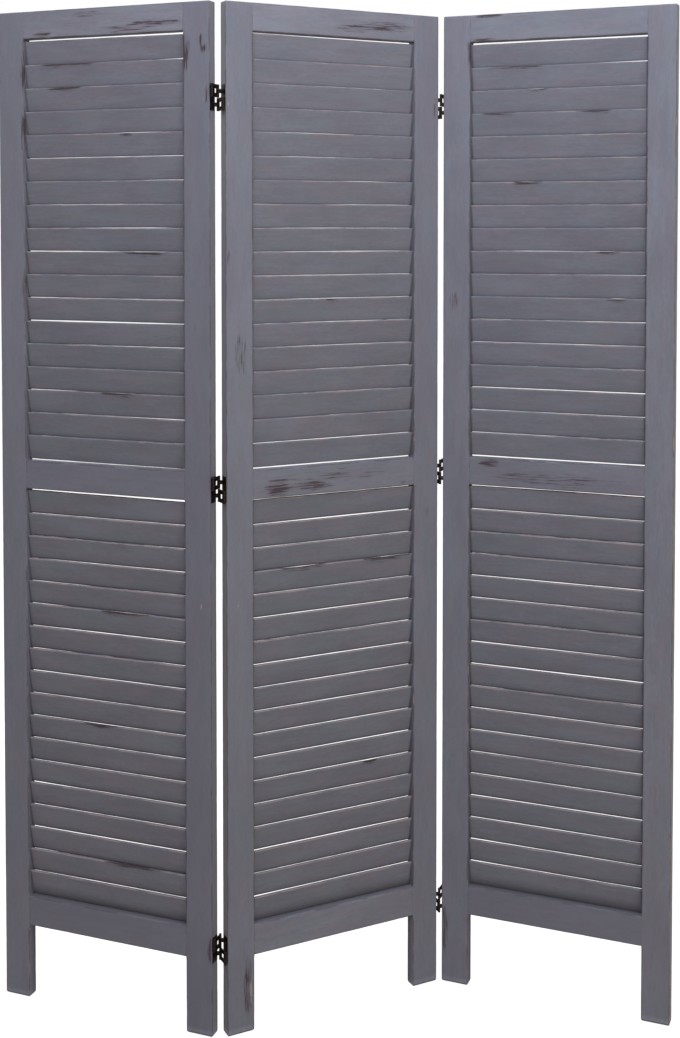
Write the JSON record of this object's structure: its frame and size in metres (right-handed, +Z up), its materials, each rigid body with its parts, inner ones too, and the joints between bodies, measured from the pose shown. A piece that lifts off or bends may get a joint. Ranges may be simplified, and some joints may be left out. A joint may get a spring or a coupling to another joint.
{
  "type": "folding screen",
  "caption": "Folding screen of louvred wooden panels on short legs, standing in a zigzag and joined by crossed-link metal hinges.",
  "frame": {"origin": "on the floor, at the middle of the plan that the standing zigzag covers", "axes": "+Z up; X along the width of the screen, with the left panel at -X; the front faces -Y"},
  "size_m": [1.1396, 0.2132, 1.7],
  "materials": {
    "frame_wood": "worn grey wash",
    "slat_wood": "worn grey wash",
    "dowel_wood": "raw",
    "hinge_metal": "dark bronze",
    "pin_steel": "darkened",
    "screw_steel": "darkened"
  },
  "bodies": {
    "middle_panel": {"middle_panel_left_stile": "frame_wood", "middle_panel_right_stile": "frame_wood", "middle_panel_top_rail": "frame_wood", "middle_panel_middle_rail": "frame_wood", "middle_panel_bottom_rail": "frame_wood", "middle_panel_upper_slats": "slat_wood", "middle_panel_lower_slats": "slat_wood", "middle_panel_dowels": "dowel_wood", "left_hinge_inner_leaves": "hinge_metal", "left_hinge_inner_screws": "screw_steel", "left_hinge_lower_links": "hinge_metal", "left_hinge_lower_pins": "pin_steel", "right_hinge_inner_leaves": "hinge_metal", "right_hinge_inner_screws": "screw_steel", "right_hinge_lower_links": "hinge_metal", "right_hinge_lower_pins": "pin_steel"},
    "left_panel": {"left_panel_outer_stile": "frame_wood", "left_panel_inner_stile": "frame_wood", "left_panel_top_rail": "frame_wood", "left_panel_middle_rail": "frame_wood", "left_panel_bottom_rail": "frame_wood", "left_panel_upper_slats": "slat_wood", "left_panel_lower_slats": "slat_wood", "left_panel_dowels": "dowel_wood", "left_hinge_outer_leaves": "hinge_metal", "left_hinge_outer_screws": "screw_steel", "left_hinge_upper_links": "hinge_metal", "left_hinge_upper_pins": "pin_steel"},
    "right_panel": {"right_panel_inner_stile": "frame_wood", "right_panel_outer_stile": "frame_wood", "right_panel_top_rail": "frame_wood", "right_panel_middle_rail": "frame_wood", "right_panel_bottom_rail": "frame_wood", "right_panel_upper_slats": "slat_wood", "right_panel_lower_slats": "slat_wood", "right_panel_dowels": "dowel_wood", "right_hinge_outer_leaves": "hinge_metal", "right_hinge_outer_screws": "screw_steel", "right_hinge_upper_links": "hinge_metal", "right_hinge_upper_pins": "pin_steel"}
  },
  "joints": [
    {"name": "left_fold", "type": "hinge", "parent": "middle_panel", "child": "left_panel", "pos_m": [-0.18585, -0.08396, 0.907], "axis": [0, 0, -1], "range_deg": [-48.7, 131.3]},
    {"name": "right_fold", "type": "hinge", "parent": "middle_panel", "child": "right_panel", "pos_m": [0.18768, 0.08408, 0.907], "axis": [0, 0, -1], "range_deg": [-49.5, 130.5]}
  ]
}
